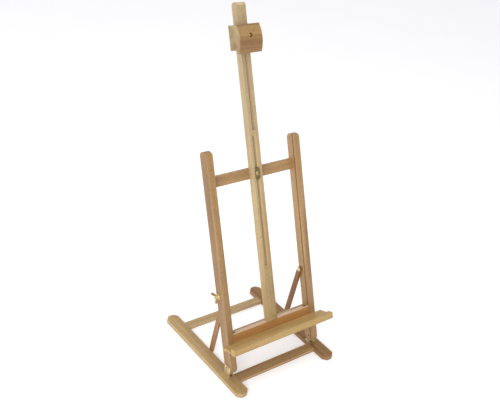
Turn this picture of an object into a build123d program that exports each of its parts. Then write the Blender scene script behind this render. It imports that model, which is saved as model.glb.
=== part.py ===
"""Tabletop H-frame easel: a flat base, a leaning frame, a sliding mast with a canvas tray, and a top clamp.

Millimetres, +Z up, -Y to the front. The origin is the middle of the front crossbar's underside.
Frame pieces are first modelled upright about the pivot (X across, Y to the back, Z up the posts) and then
leaned back with FRAME_POSE; everything that fastens to the frame uses those same upright positions.
"""

from build123d import *
import math
import os

# --- driving dimensions -------------------------------------------------------------------------
# Base
BASE_HALF_WIDTH = 170.0
RUNNER_LENGTH = 371.0
RUNNER_WIDTH = 37.0
RUNNER_THICK = 12.0
RUNNER_CLIP = 11.0
CROSSBAR_THICK = 10.5
FRONT_BAR_WIDTH = 29.0
FRONT_BAR_FROM_FRONT = 62.5
REAR_BAR_WIDTH = 25.0
REAR_BAR_FROM_FRONT = 312.5

# Frame: posts and rails
LEAN_DEG = 21.0
PIVOT_FROM_FRONT = 80.0
PIVOT_HEIGHT = 38.0
POST_WIDTH = 19.0
POST_DEPTH = 32.0
POST_TOP = 588.0
POST_CORNER = 12.0
GROOVE_WIDTH = 5.0
GROOVE_DEPTH = 3.0
GROOVE_Y = -9.0
RAIL_FRONT_Y = 3.2
UPPER_RAIL_LOW = 490.0
UPPER_RAIL_HIGH = 519.0
LOWER_RAIL_LOW = 62.0
LOWER_RAIL_HIGH = 92.0

# Tray that holds the canvas
TRAY_LENGTH = 342.0
TRAY_LOW = 62.0
TRAY_THICK = 8.0
TRAY_FRONT_Y = -69.5
LIP_DEPTH = 16.5
LIP_LOW = 58.0
LIP_HIGH = 76.0
LIP_EDGE = 2.0
TRAY_GROOVE_WIDTH = 8.0
TRAY_GROOVE_DEPTH = 4.0
BACK_BOARD_TOP = 93.0
BACK_BOARD_FRONT_Y = -14.2
BACK_BOARD_THICK = 17.0
BACK_BOARD_THICK_HALF = 119.0
TONGUE_GAP = 0.3
SLIDE_GAP = 0.4

# Mast
MAST_WIDTH = 30.0
MAST_FRONT_Y = -18.0
MAST_BACK_Y = 3.0
MAST_TOP = 945.0
MAST_TOP_R = 9.0
TENON_WIDTH = 16.0
TENON_THICK = 10.0
TENON_LENGTH = 20.0
MORTISE_GAP = 0.1
CHANNEL_WIDTH = 20.0
CHANNEL_DEPTH = 5.0
CHANNEL_LOW = 241.0
CHANNEL_HIGH = 612.0
LOWER_SLOT_WIDTH = 7.0
UPPER_SLOT_WIDTH = 9.0
UPPER_SLOT_LOW = 618.0
UPPER_SLOT_HIGH = 872.0

# Canvas clamp at the top of the mast
CLAMP_WIDTH = 72.0
CLAMP_TOP = 890.0
CLAMP_BACK_LOW = 827.0
CLAMP_LIP_LOW = 818.0
CLAMP_FRONT_Y = -39.5
CLAMP_TOP_R = 3.0
CLAMP_NOSE_Y = -48.0
CLAMP_NOSE_Z = 850.0
CLAMP_LIP_Y = -38.5
HOOK_BACK_Y = -32.5
HOOK_SLOPE = 2.0
CLAMP_BOLT_Z = 862.0
CLAMP_RECESS_R = 6.0
CLAMP_SEAT_Y = -40.5
CLAMP_HEAD_R = 4.5
CLAMP_HEAD_HEIGHT = 2.5

# Stays
STAY_WIDTH = 15.0
STAY_THICK = 7.0
STAY_GAP = 0.3
STAY_PIVOT_FROM_FRONT = 188.5
STAY_PIVOT_HEIGHT = 6.5
STAY_BOLT_Y = 8.5
STAY_BOLT_Z = 200.0
STAY_NOSE_R = 6.0
STAY_TAPER_LENGTH = 30.0
STAY_NOSE_LENGTH = 9.0
STAY_HEAD_R = 6.5
STAY_HEAD_HEIGHT = 3.5

# Metal fittings
BOLT_R = 3.0
THREAD_GAP = 0.05
BOLT_HOLE_R = 3.25
BOLT_PAST_NUT = 3.0
BOLT_TIP = 0.6
CONTACT_GAP = 0.1
LOCK_HEAD_R = 5.5
LOCK_HEAD_HEIGHT = 3.0
LOCK_Z = 505.0
PLATE_WIDTH = 16.5
PLATE_LENGTH = 35.0
PLATE_THICK = 1.5
WASHER_R = 8.5
WASHER_THICK = 1.5
NUT_HEIGHT = 8.0
NUT_R = 6.5
WING_TIP = 16.0
WING_RISE = 15.0
WING_THICK = 2.4
WING_FOOT = 1.0
WING_ROOT_DEPTH = 3.0
WING_TIP_LOW = 8.25
WING_TIP_CHORD = 6.0
WING_CORNER_R = 2.0
LEFT_NUT_TURN = 35.0
RIGHT_NUT_TURN = 0.0
BRACKET_THICK = 2.0
BRACKET_WIDTH = 24.0
BRACKET_HEIGHT = 33.0
BRACKET_GAP = 0.3
BRACKET_SETBACK = 1.5
BRACKET_CORNER_R = 5.0
BRACKET_SCREW_SPACING = 14.0
PIVOT_R = 2.5
PIVOT_HOLE_DEPTH = 16.0
PIVOT_SCREW_BITE = 14.0
SCREW_HEAD_R = 5.0
SCREW_HEAD_HEIGHT = 3.0
WOOD_SCREW_R = 2.0
WOOD_SCREW_LENGTH = 10.0
WOOD_SCREW_HOLE = 9.0
SCREW_STOPS_SHORT = 3.0
DOWEL_R = 3.0
DOWEL_HOLE_R = 3.05
DOWEL_LENGTH = 24.0
DOWEL_INSET = 8.0
EDGE = 1.2
CUT_OVERRUN = 1.0

# --- derived values -----------------------------------------------------------------------------
FRONT_END_Y = -FRONT_BAR_FROM_FRONT
RUNNER_MID_Y = FRONT_END_Y + RUNNER_LENGTH / 2
RUNNER_INNER = BASE_HALF_WIDTH - RUNNER_WIDTH
RUNNER_MID_X = BASE_HALF_WIDTH - RUNNER_WIDTH / 2
REAR_BAR_Y = FRONT_END_Y + REAR_BAR_FROM_FRONT
PIVOT_Y = FRONT_END_Y + PIVOT_FROM_FRONT
POST_INNER = RUNNER_INNER
POST_OUTER = POST_INNER + POST_WIDTH
POST_HALF = POST_DEPTH / 2
MAST_DEPTH = MAST_BACK_Y - MAST_FRONT_Y
STAY_OUTER = POST_INNER - STAY_GAP
STAY_INNER = STAY_OUTER - STAY_THICK
STAY_PIVOT_Y = FRONT_END_Y + STAY_PIVOT_FROM_FRONT
LEAN = math.radians(LEAN_DEG)
STAY_TOP_Y = PIVOT_Y + STAY_BOLT_Y * math.cos(LEAN) + STAY_BOLT_Z * math.sin(LEAN)
STAY_TOP_Z = PIVOT_HEIGHT - STAY_BOLT_Y * math.sin(LEAN) + STAY_BOLT_Z * math.cos(LEAN)
STAY_LENGTH = math.hypot(STAY_TOP_Y - STAY_PIVOT_Y, STAY_TOP_Z - STAY_PIVOT_HEIGHT)
STAY_LEAN_DEG = math.degrees(math.atan2(STAY_TOP_Y - STAY_PIVOT_Y, STAY_TOP_Z - STAY_PIVOT_HEIGHT))

FRAME_POSE = Location((0, PIVOT_Y, PIVOT_HEIGHT), (-LEAN_DEG, 0, 0))
STAY_POSE = Location((0, STAY_PIVOT_Y, STAY_PIVOT_HEIGHT), (-STAY_LEAN_DEG, 0, 0))
ON_TABLE = Location((0, 0, 0))


def save(shape, name, pose=ON_TABLE):
    """Puts a finished piece in its place on the easel and writes it as one named file."""
    placed = pose * shape
    placed.label = name
    export_step(placed, f"parts/{name}.step")


def save_group(shapes, name, pose=ON_TABLE):
    """Writes several separate solids of one kind under a single name."""
    solids = [solid for shape in shapes for solid in (pose * shape).solids()]
    save(Compound(solids), name)


def side_name(side):
    return "left" if side < 0 else "right"


def box_part(low, high, edge=EDGE):
    """A strip of wood between two opposite corners, with its long edges eased."""
    size = [high[i] - low[i] for i in range(3)]
    middle = [(high[i] + low[i]) / 2 for i in range(3)]
    with BuildPart() as strip:
        with BuildSketch(Plane.XY.offset(low[2])):
            with Locations((middle[0], middle[1])):
                Rectangle(size[0], size[1])
        extrude(amount=size[2])
        longest = (Axis.X, Axis.Y, Axis.Z)[size.index(max(size))]
        fillet(strip.edges().filter_by(longest), edge)
    return strip.part


def cross_cylinder(radius, x_from, x_to, y, z):
    """A plain round bar along X."""
    with BuildPart() as bar:
        with BuildSketch(Plane.YZ.offset(x_from)):
            with Locations((y, z)):
                Circle(radius)
        extrude(amount=x_to - x_from)
    return bar.part


def depth_cylinder(radius, y_from, y_to, x, z):
    """A plain round bar along Y."""
    with BuildPart() as bar:
        with BuildSketch(Plane.XZ.offset(-y_from)):
            with Locations((x, z)):
                Circle(radius)
        extrude(amount=-(y_to - y_from))
    return bar.part


# --- hardware, each modelled on the Z axis with its bearing face at z = 0 ------------------------
def round_head_bolt(head_r, head_height, shank_r, shank_length):
    """Domed head above z = 0 and a shank below it with a bevelled end."""
    tip = min(BOLT_TIP, shank_r / 4)
    rim = head_height * 0.3
    rise = head_height - rim
    dome_r = (head_r**2 + rise**2) / (2 * rise)
    half_sweep = math.asin(head_r / dome_r) / 2
    dome_middle = (dome_r * math.sin(half_sweep), head_height - dome_r * (1 - math.cos(half_sweep)))
    with BuildPart() as bolt:
        with BuildSketch(Plane.XZ):
            with BuildLine():
                Line((0, head_height), (0, -shank_length))
                Line((0, -shank_length), (shank_r - tip, -shank_length))
                Line((shank_r - tip, -shank_length), (shank_r, -shank_length + tip))
                Line((shank_r, -shank_length + tip), (shank_r, 0))
                Line((shank_r, 0), (head_r, 0))
                Line((head_r, 0), (head_r, rim))
                ThreePointArc((head_r, rim), dome_middle, (0, head_height))
            make_face()
        revolve(axis=Axis.Z)
    return bolt.part


def slotted_screw(head_r, head_height, shank_r, shank_length):
    """Round-head wood screw with a driver slot across its head."""
    slot_width = head_r * 0.3
    slot_depth = head_height * 0.4
    body = round_head_bolt(head_r, head_height, shank_r, shank_length)
    with BuildPart() as screw:
        add(body)
        with BuildSketch(Plane.XY.offset(head_height - slot_depth)):
            Rectangle(3 * head_r, slot_width)
        extrude(amount=2 * slot_depth, mode=Mode.SUBTRACT)
    return screw.part


def countersunk_screw(head_r, shank_r, shank_length):
    """Flat-head wood screw, its head's face at z = 0, with a cross recess."""
    cone = head_r - shank_r
    recess = 0.8
    with BuildPart() as screw:
        with BuildSketch(Plane.XZ):
            with BuildLine():
                Polyline(
                    (0, 0),
                    (head_r, 0),
                    (shank_r, -cone),
                    (shank_r, -shank_length + 2 * shank_r),
                    (0, -shank_length),
                    close=True,
                )
            make_face()
        revolve(axis=Axis.Z)
        with BuildSketch(Plane.XY.offset(-recess)):
            Rectangle(head_r, recess)
            Rectangle(recess, head_r)
        extrude(amount=recess, mode=Mode.SUBTRACT)
    return screw.part


def flat_washer():
    with BuildPart() as ring:
        with BuildSketch():
            Circle(WASHER_R)
            Circle(BOLT_HOLE_R, mode=Mode.SUBTRACT)
        extrude(amount=WASHER_THICK)
        rim = ring.edges().filter_by(GeomType.CIRCLE).group_by(Axis.Z)[-1].sort_by(SortBy.RADIUS)[-1]
        fillet(rim, WASHER_THICK / 3)
    return ring.part


def wing_nut():
    """Tapered hub with two upswept wings; its base is on z = 0."""
    hub_top_r = NUT_R - 1.5
    with BuildPart() as nut:
        with BuildSketch(Plane.XZ):
            with BuildLine():
                Polyline((0, 0), (NUT_R, 0), (hub_top_r, NUT_HEIGHT), (0, NUT_HEIGHT), close=True)
            make_face()
        revolve(axis=Axis.Z)
        with BuildSketch(Plane.XZ) as wing:
            with BuildLine():
                Polyline(
                    (NUT_R - WING_ROOT_DEPTH, WING_FOOT),
                    (NUT_R + 2 * WING_FOOT, 2 * WING_FOOT),
                    (WING_TIP, WING_TIP_LOW),
                    (WING_TIP, WING_RISE),
                    (WING_TIP - WING_TIP_CHORD, WING_RISE - WING_FOOT),
                    (hub_top_r - WING_ROOT_DEPTH / 2, NUT_HEIGHT - WING_FOOT),
                    close=True,
                )
            make_face()
            tips = wing.vertices().filter_by_position(
                Axis.X, WING_TIP - WING_TIP_CHORD - WING_FOOT, WING_TIP + WING_FOOT
            )
            fillet(tips, WING_CORNER_R)
        extrude(amount=WING_THICK / 2, both=True)
        mirror(about=Plane.YZ)
        with BuildSketch():
            Circle(BOLT_R + THREAD_GAP)
        extrude(amount=NUT_HEIGHT, mode=Mode.SUBTRACT)
    return nut.part


# --- base ---------------------------------------------------------------------------------------
def base_dowel_places():
    """(y, z) of the dowels that join each crossbar end to a runner."""
    spread = REAR_BAR_WIDTH / 5
    bars = (0, REAR_BAR_Y)
    return [(bar_y + offset, CROSSBAR_THICK / 2) for bar_y in bars for offset in (-spread, spread)]


def bracket_screw_places(side):
    """(x, y) of the two screws that hold a bracket's leaf down."""
    half = BRACKET_SCREW_SPACING / 2
    return [(side * (POST_INNER + POST_WIDTH / 2), PIVOT_Y + offset) for offset in (-half, half)]


def make_runner(side):
    half_dowel = DOWEL_LENGTH / 2
    with BuildPart() as runner:
        with BuildSketch() as plan:
            with Locations((side * RUNNER_MID_X, RUNNER_MID_Y)):
                Rectangle(RUNNER_WIDTH, RUNNER_LENGTH)
            chamfer(plan.vertices(), RUNNER_CLIP)
        extrude(amount=RUNNER_THICK)
        fillet(runner.faces().sort_by(Axis.Z)[-1].edges(), EDGE)
        for y, z in base_dowel_places():
            add(
                cross_cylinder(DOWEL_HOLE_R, side * RUNNER_INNER, side * (RUNNER_INNER + half_dowel), y, z),
                mode=Mode.SUBTRACT,
            )
        hole_end = RUNNER_INNER + PIVOT_HOLE_DEPTH
        add(
            cross_cylinder(PIVOT_R, side * RUNNER_INNER, side * hole_end, STAY_PIVOT_Y, STAY_PIVOT_HEIGHT),
            mode=Mode.SUBTRACT,
        )
        for x, y in bracket_screw_places(side):
            with BuildSketch(Plane.XY.offset(RUNNER_THICK)):
                with Locations((x, y)):
                    Circle(WOOD_SCREW_R)
            extrude(amount=-WOOD_SCREW_HOLE, mode=Mode.SUBTRACT)
    save(runner.part, f"{side_name(side)}_runner")


def make_crossbar(name, middle_y, width):
    half_dowel = DOWEL_LENGTH / 2
    strip = box_part(
        (-RUNNER_INNER, middle_y - width / 2, 0), (RUNNER_INNER, middle_y + width / 2, CROSSBAR_THICK)
    )
    with BuildPart() as bar:
        add(strip)
        for y, z in base_dowel_places():
            for side in (-1, 1):
                if abs(y - middle_y) < width / 2:
                    add(
                        cross_cylinder(
                            DOWEL_HOLE_R, side * (RUNNER_INNER - half_dowel), side * RUNNER_INNER, y, z
                        ),
                        mode=Mode.SUBTRACT,
                    )
    save(bar.part, name)


def make_base_dowels():
    half_dowel = DOWEL_LENGTH / 2
    pegs = []
    for side in (-1, 1):
        for y, z in base_dowel_places():
            pegs.append(
                cross_cylinder(
                    DOWEL_R, side * (RUNNER_INNER - half_dowel), side * (RUNNER_INNER + half_dowel), y, z
                )
            )
    save_group(pegs, "base_dowels")


def make_hinge_bracket(side):
    """Brass angle: a leaf screwed to the runner under the post and an ear up the post's outer face."""
    ear_inner = POST_OUTER + BRACKET_GAP
    leaf_inner = POST_INNER + BRACKET_SETBACK
    with BuildPart() as bracket:
        with BuildSketch(Plane.XZ.offset(-(PIVOT_Y + BRACKET_WIDTH / 2))):
            with BuildLine():
                Polyline(
                    (side * leaf_inner, RUNNER_THICK),
                    (side * (ear_inner + BRACKET_THICK), RUNNER_THICK),
                    (side * (ear_inner + BRACKET_THICK), RUNNER_THICK + BRACKET_HEIGHT),
                    (side * ear_inner, RUNNER_THICK + BRACKET_HEIGHT),
                    (side * ear_inner, RUNNER_THICK + BRACKET_THICK),
                    (side * leaf_inner, RUNNER_THICK + BRACKET_THICK),
                    close=True,
                )
            make_face()
        extrude(amount=BRACKET_WIDTH)
        top_corners = bracket.edges().filter_by(Axis.X).group_by(Axis.Z)[-1]
        fillet(top_corners, BRACKET_CORNER_R)
        add(
            cross_cylinder(
                PIVOT_R + THREAD_GAP,
                side * (POST_OUTER - CUT_OVERRUN),
                side * (ear_inner + BRACKET_THICK + CUT_OVERRUN),
                PIVOT_Y,
                PIVOT_HEIGHT,
            ),
            mode=Mode.SUBTRACT,
        )
        with Locations(*[(x, y, RUNNER_THICK + BRACKET_THICK) for x, y in bracket_screw_places(side)]):
            CounterSinkHole(WOOD_SCREW_R, 2 * WOOD_SCREW_R, depth=BRACKET_THICK, counter_sink_angle=90)
    save(bracket.part, f"{side_name(side)}_hinge_bracket")


def make_bracket_screws():
    screws = []
    for side in (-1, 1):
        for x, y in bracket_screw_places(side):
            screw = countersunk_screw(2 * WOOD_SCREW_R, WOOD_SCREW_R, WOOD_SCREW_LENGTH)
            screws.append(Location((x, y, RUNNER_THICK + BRACKET_THICK)) * screw)
    save_group(screws, "bracket_screws")


def make_stay_pivot_screw(side):
    """Wood screw through the stay's foot into the runner's inner face."""
    shank = STAY_THICK + STAY_GAP + PIVOT_SCREW_BITE
    screw = slotted_screw(SCREW_HEAD_R, SCREW_HEAD_HEIGHT, PIVOT_R, shank)
    head_x = STAY_INNER - CONTACT_GAP
    pose = Location((side * head_x, STAY_PIVOT_Y, STAY_PIVOT_HEIGHT), (0, -90 * side, 0))
    save(screw, f"{side_name(side)}_stay_pivot_screw", pose)


# --- frame --------------------------------------------------------------------------------------
def rail_dowel_places():
    """(y, z) of the dowels that join each rail end to a post."""
    y = (RAIL_FRONT_Y + POST_HALF) / 2
    rails = ((LOWER_RAIL_LOW, LOWER_RAIL_HIGH), (UPPER_RAIL_LOW, UPPER_RAIL_HIGH))
    return [(y, level) for low, high in rails for level in (low + DOWEL_INSET, high - DOWEL_INSET)]


def make_post(side):
    half_dowel = DOWEL_LENGTH / 2
    with BuildPart() as post:
        with BuildSketch(Plane.YZ.offset(side * POST_INNER)):
            with BuildLine():
                ThreePointArc((-POST_HALF, 0), (0, -POST_HALF), (POST_HALF, 0))
                Line((POST_HALF, 0), (POST_HALF, POST_TOP - POST_CORNER))
                CenterArc((POST_HALF - POST_CORNER, POST_TOP - POST_CORNER), POST_CORNER, 0, 90)
                Line((POST_HALF - POST_CORNER, POST_TOP), (POST_CORNER - POST_HALF, POST_TOP))
                CenterArc((POST_CORNER - POST_HALF, POST_TOP - POST_CORNER), POST_CORNER, 90, 90)
                Line((-POST_HALF, POST_TOP - POST_CORNER), (-POST_HALF, 0))
            make_face()
        extrude(amount=side * POST_WIDTH)
        outer_face = post.faces().sort_by(Axis.X)[-1 if side > 0 else 0]
        inner_face = post.faces().sort_by(Axis.X)[0 if side > 0 else -1]
        fillet(outer_face.edges() + inner_face.edges(), EDGE)
        with BuildSketch(Plane.YZ.offset(side * POST_INNER)):
            with Locations((GROOVE_Y, POST_TOP / 2)):
                Rectangle(GROOVE_WIDTH, POST_TOP + 2 * POST_DEPTH)
        extrude(amount=side * GROOVE_DEPTH, mode=Mode.SUBTRACT)
        for radius, y, z in ((PIVOT_R, 0, 0), (BOLT_HOLE_R, STAY_BOLT_Y, STAY_BOLT_Z)):
            add(
                cross_cylinder(
                    radius, side * (POST_INNER - CUT_OVERRUN), side * (POST_OUTER + CUT_OVERRUN), y, z
                ),
                mode=Mode.SUBTRACT,
            )
        for y, z in rail_dowel_places():
            add(
                cross_cylinder(DOWEL_HOLE_R, side * POST_INNER, side * (POST_INNER + half_dowel), y, z),
                mode=Mode.SUBTRACT,
            )
    save(post.part, f"{side_name(side)}_post", FRAME_POSE)


def make_rail(name, low, high, bolt_z=None):
    half_dowel = DOWEL_LENGTH / 2
    strip = box_part((-POST_INNER, RAIL_FRONT_Y, low), (POST_INNER, POST_HALF, high))
    with BuildPart() as rail:
        add(strip)
        for y, z in rail_dowel_places():
            for side in (-1, 1):
                if low < z < high:
                    add(
                        cross_cylinder(DOWEL_HOLE_R, side * (POST_INNER - half_dowel), side * POST_INNER, y, z),
                        mode=Mode.SUBTRACT,
                    )
        if bolt_z is not None:
            add(
                depth_cylinder(BOLT_HOLE_R, RAIL_FRONT_Y - CUT_OVERRUN, POST_HALF + CUT_OVERRUN, 0, bolt_z),
                mode=Mode.SUBTRACT,
            )
    save(rail.part, name, FRAME_POSE)


def make_rail_dowels():
    half_dowel = DOWEL_LENGTH / 2
    pegs = []
    for side in (-1, 1):
        for y, z in rail_dowel_places():
            pegs.append(
                cross_cylinder(
                    DOWEL_R, side * (POST_INNER - half_dowel), side * (POST_INNER + half_dowel), y, z
                )
            )
    save_group(pegs, "rail_dowels", FRAME_POSE)


def make_frame_pivot_screw(side):
    """Round-head screw through the bracket's ear into the post; the post turns with it."""
    shank = BRACKET_THICK + BRACKET_GAP + POST_WIDTH - SCREW_STOPS_SHORT
    screw = slotted_screw(SCREW_HEAD_R, SCREW_HEAD_HEIGHT, PIVOT_R, shank)
    head_x = POST_OUTER + BRACKET_GAP + BRACKET_THICK + CONTACT_GAP
    pose = FRAME_POSE * Location((side * head_x, 0, 0), (0, 90 * side, 0))
    save(screw, f"{side_name(side)}_frame_pivot_screw", pose)


def make_stay_stud(side):
    """Threaded end of the stay bolt, through the post, with its washer and wing nut outside."""
    stud_inner = POST_INNER + CONTACT_GAP
    washer_outer = POST_OUTER + WASHER_THICK
    stud_outer = washer_outer + NUT_HEIGHT + BOLT_PAST_NUT
    with BuildPart() as stud:
        add(cross_cylinder(BOLT_R, side * stud_inner, side * stud_outer, STAY_BOLT_Y, STAY_BOLT_Z))
        ends = stud.edges().filter_by(GeomType.CIRCLE).sort_by(Axis.X)
        chamfer(ends[-1 if side > 0 else 0], BOLT_TIP)
    name = side_name(side)
    save(stud.part, f"{name}_stay_stud", FRAME_POSE)
    outward = Location((side * POST_OUTER, STAY_BOLT_Y, STAY_BOLT_Z), (0, 90 * side, 0))
    save(flat_washer(), f"{name}_stay_washer", FRAME_POSE * outward)
    nut_place = Location((side * washer_outer, STAY_BOLT_Y, STAY_BOLT_Z), (0, 90 * side, 0))
    turned = Location((0, 0, 0), (0, 0, LEFT_NUT_TURN if side < 0 else RIGHT_NUT_TURN))
    save(wing_nut(), f"{name}_stay_wing_nut", FRAME_POSE * nut_place * turned)


def make_mast_lock():
    """Plate, bolt, washer and wing nut that clamp the mast against the upper rail."""
    channel_floor = MAST_FRONT_Y + CHANNEL_DEPTH
    plate_back = channel_floor - CONTACT_GAP
    plate_front = plate_back - PLATE_THICK
    with BuildPart() as plate:
        with BuildSketch(Plane.XZ.offset(-plate_front)):
            with Locations((0, LOCK_Z)):
                SlotOverall(PLATE_LENGTH, PLATE_WIDTH, rotation=90)
                Circle(BOLT_HOLE_R, mode=Mode.SUBTRACT)
        extrude(amount=-PLATE_THICK)
        fillet(plate.faces().sort_by(Axis.Y)[0].outer_wire().edges(), PLATE_THICK / 4)
    save(plate.part, "mast_lock_plate", FRAME_POSE)
    nut_y = POST_HALF + WASHER_THICK
    forward = Location((0, plate_front, LOCK_Z), (90, 0, 0))
    backward = (-90, 0, 0)
    shank = nut_y + NUT_HEIGHT + BOLT_PAST_NUT - plate_front
    bolt = round_head_bolt(LOCK_HEAD_R, LOCK_HEAD_HEIGHT, BOLT_R, shank)
    save(bolt, "mast_lock_bolt", FRAME_POSE * forward)
    save(flat_washer(), "mast_lock_washer", FRAME_POSE * Location((0, POST_HALF, LOCK_Z), backward))
    nut_pose = FRAME_POSE * Location((0, nut_y, LOCK_Z), backward)
    save(wing_nut(), "mast_lock_wing_nut", nut_pose)


# --- mast and tray (one sliding carriage) --------------------------------------------------------
def slot_cut(low, high, width, from_y, depth):
    """Round-ended slot, upright on the centre line, cut backwards from from_y."""
    with BuildPart() as cutter:
        with BuildSketch(Plane.XZ.offset(-from_y)):
            with Locations((0, (low + high) / 2)):
                SlotOverall(high - low, width, rotation=90)
        extrude(amount=-depth)
    return cutter.part


def tenon(gap=0.0):
    """Tongue under the mast's foot; with a gap it is the mortise that takes it."""
    board_middle_y = BACK_BOARD_FRONT_Y + BACK_BOARD_THICK / 2
    with BuildPart() as peg:
        with BuildSketch(Plane.XY.offset(BACK_BOARD_TOP)):
            with Locations((0, board_middle_y)):
                Rectangle(TENON_WIDTH + 2 * gap, TENON_THICK + 2 * gap)
        extrude(amount=-(TENON_LENGTH + gap))
    return peg.part


def make_mast():
    slot_inset = (CHANNEL_WIDTH - LOWER_SLOT_WIDTH) / 2
    channel = slot_cut(CHANNEL_LOW, CHANNEL_HIGH, CHANNEL_WIDTH, MAST_FRONT_Y, CHANNEL_DEPTH)
    lower_slot = slot_cut(
        CHANNEL_LOW + slot_inset, CHANNEL_HIGH - slot_inset, LOWER_SLOT_WIDTH, MAST_FRONT_Y, MAST_DEPTH
    )
    upper_slot = slot_cut(UPPER_SLOT_LOW, UPPER_SLOT_HIGH, UPPER_SLOT_WIDTH, MAST_FRONT_Y, MAST_DEPTH)
    with BuildPart() as mast:
        with BuildSketch(Plane.YZ.offset(-MAST_WIDTH / 2)) as side_view:
            with Locations(((MAST_FRONT_Y + MAST_BACK_Y) / 2, (BACK_BOARD_TOP + MAST_TOP) / 2)):
                Rectangle(MAST_DEPTH, MAST_TOP - BACK_BOARD_TOP)
            fillet(side_view.vertices().group_by(Axis.Y)[-1], MAST_TOP_R)
        extrude(amount=MAST_WIDTH)
        sides = mast.faces().filter_by(Axis.X)
        fillet([edge for face in sides for edge in face.edges()], EDGE)
        add(tenon())
        for cutter in (channel, lower_slot, upper_slot):
            add(cutter, mode=Mode.SUBTRACT)
    save(mast.part, "mast", FRAME_POSE)


def make_tray_back_board():
    """Thick between the stays, thinner at its ends, with a tongue in each post's groove."""
    half_board = POST_INNER - SLIDE_GAP
    half_tongue = POST_INNER + GROOVE_DEPTH - SLIDE_GAP
    tongue_front = GROOVE_Y - GROOVE_WIDTH / 2 + TONGUE_GAP
    tongue_back = GROOVE_Y + GROOVE_WIDTH / 2 - TONGUE_GAP
    with BuildPart() as board:
        with BuildSketch(Plane.XY.offset(TRAY_LOW)):
            with Locations((0, BACK_BOARD_FRONT_Y + BACK_BOARD_THICK / 2)):
                Rectangle(2 * BACK_BOARD_THICK_HALF, BACK_BOARD_THICK)
            with Locations((0, (BACK_BOARD_FRONT_Y + tongue_back) / 2)):
                Rectangle(2 * half_board, tongue_back - BACK_BOARD_FRONT_Y)
            with Locations((0, (tongue_front + tongue_back) / 2)):
                Rectangle(2 * half_tongue, tongue_back - tongue_front)
        extrude(amount=BACK_BOARD_TOP - TRAY_LOW)
        front_top = board.edges().filter_by(Axis.X).group_by(Axis.Z)[-1].sort_by(Axis.Y)[0]
        fillet(front_top, EDGE)
        add(tenon(MORTISE_GAP), mode=Mode.SUBTRACT)
    save(board.part, "tray_back_board", FRAME_POSE)


def make_tray_board():
    post_clear_y = -POST_HALF - SLIDE_GAP
    lip_back_y = TRAY_FRONT_Y + LIP_DEPTH
    with BuildPart() as board:
        with BuildSketch(Plane.XY.offset(TRAY_LOW)):
            with Locations((0, (post_clear_y + lip_back_y) / 2)):
                Rectangle(TRAY_LENGTH, post_clear_y - lip_back_y)
            with Locations((0, (post_clear_y + BACK_BOARD_FRONT_Y) / 2)):
                Rectangle(2 * (POST_INNER - SLIDE_GAP), BACK_BOARD_FRONT_Y - post_clear_y)
        extrude(amount=TRAY_THICK)
        with BuildSketch(Plane.XY.offset(TRAY_LOW + TRAY_THICK)):
            with Locations((0, lip_back_y + TRAY_GROOVE_WIDTH / 2)):
                Rectangle(TRAY_LENGTH, TRAY_GROOVE_WIDTH)
        extrude(amount=-TRAY_GROOVE_DEPTH, mode=Mode.SUBTRACT)
    save(board.part, "tray_board", FRAME_POSE)


def make_tray_lip():
    half = TRAY_LENGTH / 2
    lip = box_part(
        (-half, TRAY_FRONT_Y, LIP_LOW), (half, TRAY_FRONT_Y + LIP_DEPTH, LIP_HIGH), edge=LIP_EDGE
    )
    save(lip, "tray_lip", FRAME_POSE)


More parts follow.
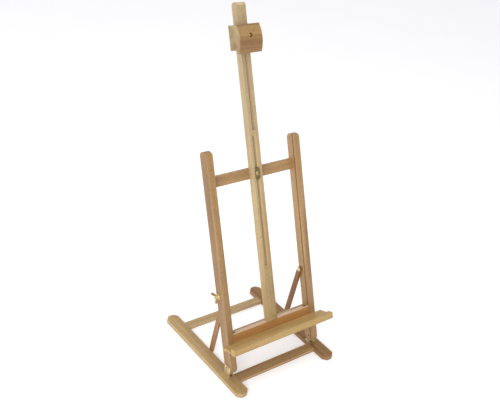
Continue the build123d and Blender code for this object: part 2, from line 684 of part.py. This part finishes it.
# --- canvas clamp ---------------------------------------------------------------------------------
def make_clamp():
    """Block that straddles the mast: its bowed front ends in a lip over the top edge of the canvas."""
    back_y = -MAST_BACK_Y
    groove_gap = 0.3
    groove_front_y = MAST_FRONT_Y - groove_gap
    with BuildPart() as clamp:
        with BuildSketch(Plane.YZ.offset(-CLAMP_WIDTH / 2)):
            with BuildLine():
                Line((back_y, CLAMP_BACK_LOW), (back_y, CLAMP_TOP))
                Line((back_y, CLAMP_TOP), (CLAMP_FRONT_Y + CLAMP_TOP_R, CLAMP_TOP))
                RadiusArc(
                    (CLAMP_FRONT_Y + CLAMP_TOP_R, CLAMP_TOP),
                    (CLAMP_FRONT_Y, CLAMP_TOP - CLAMP_TOP_R),
                    -CLAMP_TOP_R,
                )
                ThreePointArc(
                    (CLAMP_FRONT_Y, CLAMP_TOP - CLAMP_TOP_R),
                    (CLAMP_NOSE_Y, CLAMP_NOSE_Z),
                    (CLAMP_LIP_Y, CLAMP_LIP_LOW),
                )
                Line((CLAMP_LIP_Y, CLAMP_LIP_LOW), (HOOK_BACK_Y - HOOK_SLOPE, CLAMP_LIP_LOW))
                Line((HOOK_BACK_Y - HOOK_SLOPE, CLAMP_LIP_LOW), (HOOK_BACK_Y, CLAMP_BACK_LOW))
                Line((HOOK_BACK_Y, CLAMP_BACK_LOW), (back_y, CLAMP_BACK_LOW))
            make_face()
        extrude(amount=CLAMP_WIDTH)
        with BuildSketch(Plane.XY.offset(CLAMP_LIP_LOW)):
            with Locations((0, (groove_front_y + back_y) / 2)):
                Rectangle(MAST_WIDTH + 2 * groove_gap, back_y - groove_front_y)
        extrude(amount=CLAMP_TOP - CLAMP_LIP_LOW, mode=Mode.SUBTRACT)
        for radius, end_y in ((BOLT_HOLE_R, back_y), (CLAMP_RECESS_R, CLAMP_SEAT_Y)):
            add(depth_cylinder(radius, 2 * CLAMP_NOSE_Y, end_y, 0, CLAMP_BOLT_Z), mode=Mode.SUBTRACT)
        ends = clamp.faces().filter_by(Axis.X)
        outer_ends = [ends.sort_by(Axis.X)[0], ends.sort_by(Axis.X)[-1]]
        fillet([edge for face in outer_ends for edge in face.edges()], EDGE)
    save(clamp.part, "canvas_clamp", FRAME_POSE)

    washer_y = MAST_BACK_Y + CONTACT_GAP
    nut_y = washer_y + WASHER_THICK
    shank = nut_y + NUT_HEIGHT + BOLT_PAST_NUT - CLAMP_SEAT_Y
    bolt = round_head_bolt(CLAMP_HEAD_R, CLAMP_HEAD_HEIGHT, BOLT_R, shank)
    save(bolt, "clamp_bolt", FRAME_POSE * Location((0, CLAMP_SEAT_Y, CLAMP_BOLT_Z), (90, 0, 0)))
    save(flat_washer(), "clamp_washer", FRAME_POSE * Location((0, washer_y, CLAMP_BOLT_Z), (-90, 0, 0)))
    nut_pose = FRAME_POSE * Location((0, nut_y, CLAMP_BOLT_Z), (-90, 0, 0))
    save(wing_nut(), "clamp_wing_nut", nut_pose)


# --- stays ----------------------------------------------------------------------------------------
def make_stay(side):
    """Flat strut; its foot narrows to a nose so that it clears the table when it folds back."""
    half = STAY_WIDTH / 2
    with BuildPart() as stay:
        with BuildSketch(Plane.YZ.offset(side * STAY_INNER)):
            with BuildLine():
                ThreePointArc((-STAY_NOSE_R, 0), (0, -STAY_NOSE_R), (STAY_NOSE_R, 0))
                Line((STAY_NOSE_R, 0), (half, STAY_TAPER_LENGTH))
                Line((half, STAY_TAPER_LENGTH), (half, STAY_LENGTH))
                ThreePointArc((half, STAY_LENGTH), (0, STAY_LENGTH + half), (-half, STAY_LENGTH))
                Line((-half, STAY_LENGTH), (-half, STAY_NOSE_LENGTH))
                Line((-half, STAY_NOSE_LENGTH), (-STAY_NOSE_R, 0))
            make_face()
        extrude(amount=side * STAY_THICK)
        inner_face = stay.faces().sort_by(Axis.X)[0 if side > 0 else -1]
        fillet(inner_face.edges(), EDGE)
        for radius, z in ((PIVOT_R + THREAD_GAP, 0), (BOLT_R, STAY_LENGTH)):
            add(
                cross_cylinder(
                    radius, side * (STAY_INNER - CUT_OVERRUN), side * (STAY_OUTER + CUT_OVERRUN), 0, z
                ),
                mode=Mode.SUBTRACT,
            )
    name = side_name(side)
    save(stay.part, f"{name}_stay", STAY_POSE)
    bolt = round_head_bolt(STAY_HEAD_R, STAY_HEAD_HEIGHT, BOLT_R, STAY_THICK + CONTACT_GAP)
    bolt_pose = STAY_POSE * Location((side * STAY_INNER, 0, STAY_LENGTH), (0, -90 * side, 0))
    save(bolt, f"{name}_stay_bolt", bolt_pose)


os.makedirs("parts", exist_ok=True)
for hand in (-1, 1):
    make_runner(hand)
    make_hinge_bracket(hand)
    make_stay_pivot_screw(hand)
    make_post(hand)
    make_frame_pivot_screw(hand)
    make_stay_stud(hand)
    make_stay(hand)
make_crossbar("front_crossbar", 0.0, FRONT_BAR_WIDTH)
make_crossbar("rear_crossbar", REAR_BAR_Y, REAR_BAR_WIDTH)
make_base_dowels()
make_bracket_screws()
make_rail("upper_rail", UPPER_RAIL_LOW, UPPER_RAIL_HIGH, LOCK_Z)
make_rail("lower_rail", LOWER_RAIL_LOW, LOWER_RAIL_HIGH)
make_rail_dowels()
make_mast_lock()
make_mast()
make_tray_back_board()
make_tray_board()
make_tray_lip()
make_clamp()
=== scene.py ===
"""Looks for the tabletop easel: procedural wood and brass, a pale floor and soft studio light."""

import math

import bpy
from mathutils import Matrix, Vector

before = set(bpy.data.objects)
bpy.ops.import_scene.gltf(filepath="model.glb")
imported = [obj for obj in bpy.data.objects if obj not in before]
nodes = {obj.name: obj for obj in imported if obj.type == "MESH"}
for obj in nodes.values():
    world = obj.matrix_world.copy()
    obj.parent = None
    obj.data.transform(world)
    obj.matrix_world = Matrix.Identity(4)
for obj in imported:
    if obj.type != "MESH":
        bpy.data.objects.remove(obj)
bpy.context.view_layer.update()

# --- measures of the easel, in metres ---------------------------------------------------------------
LEAN = math.radians(21.0)
STAY_LEAN = math.radians(-7.4)
PIVOT = Vector((0.0, 0.0175, 0.038))
PIVOT_ALONG_Y = PIVOT.y * math.cos(LEAN) - PIVOT.z * math.sin(LEAN)
PIVOT_ALONG_Z = PIVOT.y * math.sin(LEAN) + PIVOT.z * math.cos(LEAN)

# In the leaning frame's own coordinates: Y to the back and Z up the posts from the pivot, X from the middle
MAST_FRONT = -0.018
MAST_BACK = 0.003
CHANNEL_HALF = 0.010
BOARD_TOP = 0.093
CLAMP_HALF = 0.036

# Turns that bring each board's grain onto the local Z axis
ALONG_X = (0.0, math.radians(90.0), 0.0)
ALONG_Y = (math.radians(90.0), 0.0, 0.0)
UP_FRAME = (LEAN, 0.0, 0.0)
UP_STAY = (STAY_LEAN, 0.0, 0.0)
ALONG_RAIL = (LEAN, math.radians(90.0), 0.0)


# --- node helpers -----------------------------------------------------------------------------------
def new_tree(name):
    material = bpy.data.materials.new(name)
    material.use_nodes = True
    tree = material.node_tree
    tree.nodes.clear()
    return material, tree


def add_node(tree, kind, inputs=None, **settings):
    """Adds a node; each input is either linked, if it is a socket, or set to a value."""
    node = tree.nodes.new(kind)
    for key, value in settings.items():
        setattr(node, key, value)
    for key, value in (inputs or {}).items():
        if isinstance(value, bpy.types.NodeSocket):
            tree.links.new(value, node.inputs[key])
        else:
            node.inputs[key].default_value = value
    return node


def noise(tree, vector, scale, detail=3.0, roughness=0.55, distortion=0.0):
    inputs = {
        "Vector": vector,
        "Scale": scale,
        "Detail": detail,
        "Roughness": roughness,
        "Distortion": distortion,
    }
    return add_node(tree, "ShaderNodeTexNoise", inputs).outputs["Fac"]


def stretched(tree, vector, scale):
    inputs = {"Vector": vector, "Scale": scale}
    return add_node(tree, "ShaderNodeMapping", inputs).outputs["Vector"]


def ramp(tree, value, stops):
    """Colour ramp through stops, each a position and a colour."""
    node = add_node(tree, "ShaderNodeValToRGB", {"Fac": value})
    points = node.color_ramp.elements
    while len(points) < len(stops):
        points.new(0.5)
    for point, (position, colour) in zip(points, stops):
        point.position = position
        point.color = (*colour, 1.0)
    return node.outputs["Color"]


def mask(tree, value, low, high):
    """0 where value is at low, 1 where it is at high."""
    inputs = {"Value": value, "From Min": low, "From Max": high}
    return add_node(tree, "ShaderNodeMapRange", inputs).outputs["Result"]


def spread(tree, value, low, high):
    """Spreads a 0 to 1 field over low to high."""
    inputs = {"Value": value, "To Min": low, "To Max": high}
    return add_node(tree, "ShaderNodeMapRange", inputs).outputs["Result"]


def arithmetic(tree, operation, *values):
    inputs = dict(enumerate(values))
    return add_node(tree, "ShaderNodeMath", inputs, operation=operation).outputs["Value"]


def multiply(tree, first, second):
    return arithmetic(tree, "MULTIPLY", first, second)


def mix(tree, factor, first, second, blend="MIX"):
    """Mixes two colours, each a socket or a tuple."""
    node = add_node(tree, "ShaderNodeMix", data_type="RGBA", blend_type=blend)
    for socket, value in (("Factor", factor), ("A", first), ("B", second)):
        target = [s for s in node.inputs if s.name == socket and s.enabled][0]
        if isinstance(value, bpy.types.NodeSocket):
            tree.links.new(value, target)
        else:
            target.default_value = value if socket == "Factor" else (*value, 1.0)
    return [s for s in node.outputs if s.enabled][0]


# Cosine between the rounded and the flat normal where wear begins, and where it is complete
WEAR_BEGINS = 0.995
WEAR_COMPLETE = 0.86


def edge_mask(tree, radius):
    """1 on sharp edges within about radius, 0 on flats."""
    bevel = add_node(tree, "ShaderNodeBevel", {"Radius": radius}, samples=4)
    flat = add_node(tree, "ShaderNodeNewGeometry")
    normals = {0: bevel.outputs["Normal"], 1: flat.outputs["Normal"]}
    dot = add_node(tree, "ShaderNodeVectorMath", normals, operation="DOT_PRODUCT")
    return mask(tree, dot.outputs["Value"], WEAR_BEGINS, WEAR_COMPLETE)


def bumped(tree, height, strength, distance):
    inputs = {"Height": height, "Strength": strength, "Distance": distance}
    return add_node(tree, "ShaderNodeBump", inputs).outputs["Normal"]


def lit_surface(tree, inputs):
    """Ends a material with a principled surface."""
    surface = add_node(tree, "ShaderNodeBsdfPrincipled", inputs)
    add_node(tree, "ShaderNodeOutputMaterial", {"Surface": surface.outputs["BSDF"]})


def scaled(colour, factor):
    return [min(1.0, channel * factor) for channel in colour]


# --- painted light, painted shade and tints of single pieces ----------------------------------------
# Shares say how strongly painted light covers the wood; tints fade between two heights up the frame, in
# metres.
# Width over which one painted colour turns into the next, and the depth at which a face's own painted colour
# is complete
SOFT_EDGE = 0.0006
SKIN = 0.0002
NO_TINT = (1.0, 1.0, 1.0)

# Painted light: the paler colour painted inside the mast's channel and slots, and how strongly it covers the
# wood
CHANNEL_PAINTED_LIGHT = (0.57, 0.42, 0.22)
CHANNEL_LIGHT_SHARE = 0.6
# The mast turns paler and cooler towards its top, between these heights up the frame
MAST_TINT_FROM = 0.15
MAST_TINT_TO = 0.85
MAST_FOOT_TINT = (0.97, 0.91, 0.80)
MAST_TOP_TINT = (1.10, 1.18, 1.36)

# Painted shade on the clamp's lower half, where its nose curves under, and painted light on its ends
CLAMP_SHADE_FROM = 0.840
CLAMP_SHADE_TO = 0.868
CLAMP_LOWER_PAINTED_SHADE = (0.82, 0.74, 0.66)
CLAMP_UPPER_TINT = (1.0, 1.02, 0.97)
CLAMP_END_PAINTED_LIGHT = (1.12, 1.38, 1.74)

# Painted light on the upward-facing top edge of the tray's back board
BOARD_TOP_PAINTED_LIGHT = (0.66, 0.49, 0.36)
BOARD_TOP_LIGHT_SHARE = 0.75


def upright_frame(tree, place):
    """Coordinates of the leaning frame: X across, Y to the back, Z up the posts, from the pivot."""
    turned = add_node(tree, "ShaderNodeMapping", {"Vector": place, "Rotation": UP_FRAME})
    from_pivot = {"Vector": turned.outputs["Vector"], "Location": (0.0, -PIVOT_ALONG_Y, -PIVOT_ALONG_Z)}
    shifted = add_node(tree, "ShaderNodeMapping", from_pivot)
    parts = add_node(tree, "ShaderNodeSeparateXYZ", {"Vector": shifted.outputs["Vector"]})
    return [parts.outputs[axis] for axis in "XYZ"]


def fade(tree, place, low, high, low_tint, high_tint, body):
    """Multiplies the wood by one tint at the low end of place and another at the high end."""
    tint = ramp(tree, mask(tree, place, low, high), ((0.0, low_tint), (1.0, high_tint)))
    return mix(tree, 1.0, body, tint, "MULTIPLY")


def mast_painted_light_and_fade(tree, place, body):
    """Painted light inside the channel and slots, coloured paler as if lit; the mast turns paler and cooler
    towards its top.
    """
    x, y, z = upright_frame(tree, place)
    behind_front = mask(tree, y, MAST_FRONT, MAST_FRONT + SOFT_EDGE)
    before_back = mask(tree, y, MAST_BACK, MAST_BACK - SOFT_EDGE)
    from_middle = arithmetic(tree, "ABSOLUTE", x)
    between = mask(tree, from_middle, CHANNEL_HALF + SOFT_EDGE, CHANNEL_HALF)
    inside = multiply(tree, multiply(tree, behind_front, before_back), between)
    # Painted light: the channel's walls and floor are coloured paler where they would otherwise sit in shade
    body = mix(tree, multiply(tree, inside, CHANNEL_LIGHT_SHARE), body, CHANNEL_PAINTED_LIGHT)
    return fade(tree, z, MAST_TINT_FROM, MAST_TINT_TO, MAST_FOOT_TINT, MAST_TOP_TINT, body)


def clamp_painted_shade_and_light(tree, place, body):
    """Painted shade makes the lower half darker and redder than the upper half, where the nose curves under;
    painted light makes the ends paler and greyer.
    """
    x, _, z = upright_frame(tree, place)
    # Painted shade: darker and redder towards the bottom of the clamp
    body = fade(tree, z, CLAMP_SHADE_FROM, CLAMP_SHADE_TO, CLAMP_LOWER_PAINTED_SHADE, CLAMP_UPPER_TINT, body)
    # Painted light: both ends paler and greyer, as if lit from the left
    from_middle = arithmetic(tree, "ABSOLUTE", x)
    end_from = CLAMP_HALF - 2 * SOFT_EDGE
    return fade(tree, from_middle, end_from, CLAMP_HALF - SKIN, NO_TINT, CLAMP_END_PAINTED_LIGHT, body)


def back_board_painted_light(tree, place, body):
    """Painted light: the top edge of the tray's back board is coloured paler than its front, as it faces the
    light from above.
    """
    z = upright_frame(tree, place)[2]
    on_top = mask(tree, z, BOARD_TOP - SOFT_EDGE, BOARD_TOP - SKIN)
    return mix(tree, multiply(tree, on_top, BOARD_TOP_LIGHT_SHARE), body, BOARD_TOP_PAINTED_LIGHT)


# --- wood -------------------------------------------------------------------------------------------
# Fields drawn out along the grain: stretch, scale, detail, roughness and distortion
BANDS = (0.05, 38.0, 2.0, 0.5, 0.6)
RINGS = (0.02, 210.0, 3.0, 0.6, 0.25)
FIBRES = (0.012, 1500.0, 2.0, 0.6, 0.0)
FLECKS = (0.22, 720.0, 0.0, 0.5, 0.0)
# Fields that are the same in every direction: scale, detail and roughness
BLOTCHES = (9.0, 2.0, 0.5)
WEAR = (260.0, 2.0, 0.55)

# Where a band is dark, middling and pale
BAND_STOPS = (0.30, 0.50, 0.68)
# Tints that the finer fields multiply the bands by
RING_TINTS = ((0.34, (0.80, 0.74, 0.68)), (0.58, (1.0, 1.0, 1.0)))
FIBRE_TINTS = ((0.35, (0.84, 0.80, 0.76)), (0.62, (1.04, 1.03, 1.02)))
BLOTCH_TINTS = ((0.32, (0.90, 0.86, 0.82)), (0.66, (1.05, 1.04, 1.03)))
RING_SHARE = 0.55
FIBRE_SHARE = 0.60
BLOTCH_SHARE = 0.7

FLECK_RANGE = (0.63, 0.70)
FLECK_SHARE = 0.45
FLECK_DARKNESS = 0.45

EDGE_RADIUS = 0.0014
WEAR_RANGE = (0.40, 0.62)
WEAR_SHARE = 0.45
WEAR_BRIGHTNESS = 1.25

ROUGH_LOW = 0.36
ROUGH_HIGH = 0.58
FLECK_DEPTH = 0.5
PORE_STRENGTH = 0.22
PORE_DEPTH = 0.0004
LACQUER = {"IOR": 1.48, "Coat Weight": 0.18, "Coat Roughness": 0.30}


def grain(tree, board, stretch, scale, detail, roughness, distortion):
    return noise(tree, stretched(tree, board, (1.0, 1.0, stretch)), scale, detail, roughness, distortion)


def growth_colour(tree, board, fibres, fleck, pale, dark):
    """Soft growth bands, finer rings, fibres, dark flecks and slow warm blotches."""
    middle = [0.5 * (a + b) for a, b in zip(pale, dark)]
    body = ramp(tree, grain(tree, board, *BANDS), tuple(zip(BAND_STOPS, (dark, middle, pale))))
    body = mix(tree, RING_SHARE, body, ramp(tree, grain(tree, board, *RINGS), RING_TINTS), "MULTIPLY")
    body = mix(tree, FIBRE_SHARE, body, ramp(tree, fibres, FIBRE_TINTS), "MULTIPLY")
    body = mix(tree, multiply(tree, fleck, FLECK_SHARE), body, scaled(dark, FLECK_DARKNESS))
    return mix(tree, BLOTCH_SHARE, body, ramp(tree, noise(tree, board, *BLOTCHES), BLOTCH_TINTS), "MULTIPLY")


def worn_edges(tree, board, body, pale):
    """Rubs the sharp edges paler, in a ragged line."""
    ragged = mask(tree, noise(tree, board, *WEAR), *WEAR_RANGE)
    worn = multiply(tree, edge_mask(tree, EDGE_RADIUS), ragged)
    return mix(tree, multiply(tree, worn, WEAR_SHARE), body, scaled(pale, WEAR_BRIGHTNESS))


def wood(name, grain_turn, pale, dark, offset, painted_light_and_tints=None):
    """Satin oiled beech.

    grain_turn turns the row frame so that the grain runs along local Z; offset moves the piece to
    another part of the board so that no two pieces match."""
    material, tree = new_tree(name)
    place = add_node(tree, "ShaderNodeTexCoord").outputs["Object"]
    cut = {"Vector": place, "Rotation": grain_turn, "Location": offset}
    board = add_node(tree, "ShaderNodeMapping", cut).outputs["Vector"]
    fibres = grain(tree, board, *FIBRES)
    fleck = mask(tree, grain(tree, board, *FLECKS), *FLECK_RANGE)
    body = growth_colour(tree, board, fibres, fleck, pale, dark)
    body = worn_edges(tree, board, body, pale)
    if painted_light_and_tints:
        body = painted_light_and_tints(tree, place, body)
    pores = arithmetic(tree, "SUBTRACT", fibres, multiply(tree, fleck, FLECK_DEPTH))
    inputs = {
        "Base Color": body,
        "Roughness": spread(tree, fibres, ROUGH_LOW, ROUGH_HIGH),
        "Normal": bumped(tree, pores, PORE_STRENGTH, PORE_DEPTH),
        **LACQUER,
    }
    lit_surface(tree, inputs)
    return material


# --- brass ------------------------------------------------------------------------------------------
TARNISH = (160.0, 4.0, 0.6)
TARNISH_STOPS = (0.36, 0.60)
SCRATCHES = (2600.0, 1.0, 0.5)
SCRATCH_STRETCH = (1.0, 0.05, 1.0)
SCRATCH_STRENGTH = 0.12
SCRATCH_DEPTH = 0.0002
RUB_RADIUS = 0.0005
RUB_SHARE = 0.55
RUB_BRIGHTNESS = 1.2


def brass(name, bright, tarnished, rough_low, rough_high):
    """Plated brass: fine scratches, cloudy tarnish and brighter rubbed edges."""
    material, tree = new_tree(name)
    place = add_node(tree, "ShaderNodeTexCoord").outputs["Object"]
    scratch = noise(tree, stretched(tree, place, SCRATCH_STRETCH), *SCRATCHES)
    body = ramp(tree, noise(tree, place, *TARNISH), tuple(zip(TARNISH_STOPS, (tarnished, bright))))
    rubbed = multiply(tree, edge_mask(tree, RUB_RADIUS), RUB_SHARE)
    body = mix(tree, rubbed, body, scaled(bright, RUB_BRIGHTNESS))
    inputs = {
        "Base Color": body,
        "Metallic": 1.0,
        "Roughness": spread(tree, scratch, rough_low, rough_high),
        "Normal": bumped(tree, scratch, SCRATCH_STRENGTH, SCRATCH_DEPTH),
    }
    lit_surface(tree, inputs)
    return material


# --- which piece wears what -------------------------------------------------------------------------
# Pale and dark growth bands of each board, as linear colours
LEFT_RUNNER_WOOD = ((0.57, 0.42, 0.195), (0.39, 0.245, 0.100))
# The right runner's darker bands are partly its own wood and partly painted shade
RIGHT_RUNNER_WOOD_AND_SHADE = ((0.34, 0.19, 0.068), (0.22, 0.108, 0.036))
FRONT_BAR_WOOD = ((0.47, 0.31, 0.135), (0.32, 0.186, 0.073))
REAR_BAR_WOOD = ((0.58, 0.43, 0.225), (0.41, 0.27, 0.125))
LEFT_POST_WOOD = ((0.41, 0.250, 0.098), (0.265, 0.145, 0.050))
RIGHT_POST_WOOD = ((0.47, 0.300, 0.132), (0.305, 0.175, 0.068))
RAIL_WOOD = ((0.48, 0.31, 0.133), (0.32, 0.180, 0.072))
LEFT_STAY_WOOD = ((0.41, 0.21, 0.070), (0.27, 0.125, 0.040))
RIGHT_STAY_WOOD = ((0.345, 0.155, 0.036), (0.225, 0.092, 0.022))
MAST_WOOD = ((0.56, 0.435, 0.228), (0.41, 0.295, 0.136))
TRAY_WOOD = ((0.55, 0.385, 0.142), (0.40, 0.245, 0.080))
# The back board's strong orange is partly its own wood and partly a painted warm reflection from the tray
BACK_BOARD_WOOD_AND_REFLECTION = ((0.56, 0.30, 0.095), (0.37, 0.170, 0.050))
CLAMP_WOOD = ((0.42, 0.26, 0.105), (0.260, 0.142, 0.052))

WOODEN = (
    ("left_runner", ALONG_Y, LEFT_RUNNER_WOOD),
    ("right_runner", ALONG_Y, RIGHT_RUNNER_WOOD_AND_SHADE),
    ("front_crossbar", ALONG_X, FRONT_BAR_WOOD),
    ("rear_crossbar", ALONG_X, REAR_BAR_WOOD),
    ("base_dowels", ALONG_X, REAR_BAR_WOOD),
    ("left_post", UP_FRAME, LEFT_POST_WOOD),
    ("right_post", UP_FRAME, RIGHT_POST_WOOD),
    ("upper_rail", ALONG_RAIL, RAIL_WOOD),
    ("lower_rail", ALONG_RAIL, RAIL_WOOD),
    ("rail_dowels", ALONG_RAIL, REAR_BAR_WOOD),
    ("left_stay", UP_STAY, LEFT_STAY_WOOD),
    ("right_stay", UP_STAY, RIGHT_STAY_WOOD),
    ("mast", UP_FRAME, MAST_WOOD),
    ("tray_board", ALONG_RAIL, TRAY_WOOD),
    ("tray_lip", ALONG_RAIL, TRAY_WOOD),
    ("tray_back_board", ALONG_RAIL, BACK_BOARD_WOOD_AND_REFLECTION),
    ("canvas_clamp", ALONG_RAIL, CLAMP_WOOD),
)
# Painted light and shade, and the mast's tint, laid over the wood of these pieces
PAINTED_LIGHT_AND_TINTS = {
    "mast": mast_painted_light_and_fade,
    "canvas_clamp": clamp_painted_shade_and_light,
    "tray_back_board": back_board_painted_light,
}
# How far one piece's cut lies from the next piece's in the board
CUT_STEP = (0.37, 0.61, 1.3)

# Bright and tarnished colours of each brass, and its lowest and highest roughness
BRASSES = {
    "brass_plate": ((0.84, 0.74, 0.48), (0.64, 0.52, 0.29), 0.34, 0.55),
    "brass_screw": ((0.58, 0.47, 0.24), (0.36, 0.28, 0.13), 0.30, 0.50),
    "brass_nut": ((0.86, 0.76, 0.50), (0.68, 0.55, 0.32), 0.18, 0.36),
    "brass_dull": ((0.33, 0.27, 0.12), (0.20, 0.155, 0.065), 0.35, 0.55),
}
PIECES_OF_BRASS = {
    "brass_screw": ("left_frame_pivot_screw", "right_frame_pivot_screw", "mast_lock_bolt", "bracket_screws"),
    "brass_nut": ("left_stay_wing_nut", "right_stay_wing_nut", "mast_lock_wing_nut", "clamp_wing_nut"),
    "brass_dull": ("mast_lock_plate",),
}


def dress(node_name, material):
    mesh = nodes[node_name].data
    mesh.materials.clear()
    mesh.materials.append(material)


def dress_wood():
    for index, (node_name, turn, (pale, dark)) in enumerate(WOODEN):
        offset = [step * index for step in CUT_STEP]
        dress(node_name, wood(f"wood_{node_name}", turn, pale, dark, offset, PAINTED_LIGHT_AND_TINTS.get(node_name)))


def dress_brass():
    """Every piece that isn't wooden is brass, and plain plate brass unless it is named above."""
    materials = {name: brass(name, *values) for name, values in BRASSES.items()}
    kind_of = {piece: kind for kind, pieces in PIECES_OF_BRASS.items() for piece in pieces}
    wooden = {row[0] for row in WOODEN}
    for node_name in nodes:
        if node_name not in wooden:
            dress(node_name, materials[kind_of.get(node_name, "brass_plate")])


dress_wood()
dress_brass()

# --- floor ------------------------------------------------------------------------------------------
FLOOR_SIZE = 30.0
FLOOR_DROP = 0.0005
FLOOR_CLOUD_SCALE = 3.0
FLOOR_TONES = ((0.3, (0.90, 0.90, 0.90)), (0.7, (0.92, 0.92, 0.92)))
FLOOR_ROUGHNESS = 0.85
FLOOR_GLOW = 0.22
WHITE = (1.0, 1.0, 1.0, 1.0)


def pale_floor():
    """White floor with faint clouds and a slight glow that keeps its shadows light."""
    bpy.ops.mesh.primitive_plane_add(size=FLOOR_SIZE, location=(0.0, 0.0, -FLOOR_DROP))
    floor = bpy.context.object
    floor.name = "floor"
    material, tree = new_tree("floor_white")
    place = add_node(tree, "ShaderNodeTexCoord").outputs["Object"]
    inputs = {
        "Base Color": ramp(tree, noise(tree, place, FLOOR_CLOUD_SCALE), FLOOR_TONES),
        "Roughness": FLOOR_ROUGHNESS,
        "Emission Color": WHITE,
        "Emission Strength": FLOOR_GLOW,
    }
    lit_surface(tree, inputs)
    floor.data.materials.append(material)


pale_floor()

# --- light ------------------------------------------------------------------------------------------
SKY_LEFT = (1.0, 1.04, 1.16)
SKY_RIGHT = (0.46, 0.42, 0.36)
SKY_STRENGTH = 1.0
# Where each lamp stands, what it aims at, its side in metres and its power in watts
KEY_LAMP = ((-2.7, -1.7, 1.9), (0.0, 0.1, 0.45), 1.6, 52.0)
TOP_LAMP = ((0.3, 0.2, 3.2), (0.0, 0.1, 0.3), 2.2, 22.0)


def studio_world():
    """White backdrop to the camera; for lighting, a bright left side that fades and warms to the right."""
    world = bpy.data.worlds.new("studio")
    bpy.context.scene.world = world
    world.use_nodes = True
    tree = world.node_tree
    tree.nodes.clear()
    direction = add_node(tree, "ShaderNodeTexCoord").outputs["Generated"]
    across = add_node(tree, "ShaderNodeSeparateXYZ", {"Vector": direction}).outputs["X"]
    tone = ramp(tree, mask(tree, across, -1.0, 1.0), ((0.0, SKY_LEFT), (1.0, SKY_RIGHT)))
    light = add_node(tree, "ShaderNodeBackground", {"Color": tone, "Strength": SKY_STRENGTH})
    backdrop = add_node(tree, "ShaderNodeBackground", {"Color": WHITE, "Strength": 1.0})
    to_camera = add_node(tree, "ShaderNodeLightPath").outputs["Is Camera Ray"]
    both = add_node(tree, "ShaderNodeMixShader", {"Fac": to_camera})
    tree.links.new(light.outputs["Background"], both.inputs[1])
    tree.links.new(backdrop.outputs["Background"], both.inputs[2])
    add_node(tree, "ShaderNodeOutputWorld", {"Surface": both.outputs["Shader"]})


def area_light(name, place, aim, size, power):
    data = bpy.data.lights.new(name, "AREA")
    data.shape = "SQUARE"
    data.size = size
    data.energy = power
    lamp = bpy.data.objects.new(name, data)
    bpy.context.collection.objects.link(lamp)
    lamp.location = place
    lamp.rotation_euler = (Vector(aim) - Vector(place)).to_track_quat("-Z", "Y").to_euler()


studio_world()
area_light("key", *KEY_LAMP)
area_light("top", *TOP_LAMP)

# --- camera -----------------------------------------------------------------------------------------
CAMERA_PLACE = Vector((-1.2026, -1.2146, 1.4760))
CAMERA_FORWARD = Vector((0.56365, 0.66308, -0.49257))
CAMERA_ROLL = math.radians(7.73)
CAMERA_LENS = 56.9
CAMERA_REACH = 60.0
SENSOR_WIDTH = 36.0
WORLD_UP = Vector((0.0, 0.0, 1.0))


def camera_placement():
    """The easel leans to the right in the picture, so the camera is turned about its line of sight."""
    forward = CAMERA_FORWARD.normalized()
    level = forward.cross(WORLD_UP).normalized()
    above = level.cross(forward)
    right = level * math.cos(CAMERA_ROLL) + above * math.sin(CAMERA_ROLL)
    up = above * math.cos(CAMERA_ROLL) - level * math.sin(CAMERA_ROLL)
    turn = Matrix((right, up, -forward)).transposed().to_4x4()
    return Matrix.Translation(CAMERA_PLACE) @ turn


def place_camera():
    data = bpy.data.cameras.new("camera")
    data.lens = CAMERA_LENS
    data.sensor_width = SENSOR_WIDTH
    data.sensor_fit = "HORIZONTAL"
    data.clip_end = CAMERA_REACH
    camera = bpy.data.objects.new("camera", data)
    bpy.context.collection.objects.link(camera)
    camera.matrix_world = camera_placement()
    bpy.context.scene.camera = camera


place_camera()
bpy.context.scene.view_settings.view_transform = "Standard"
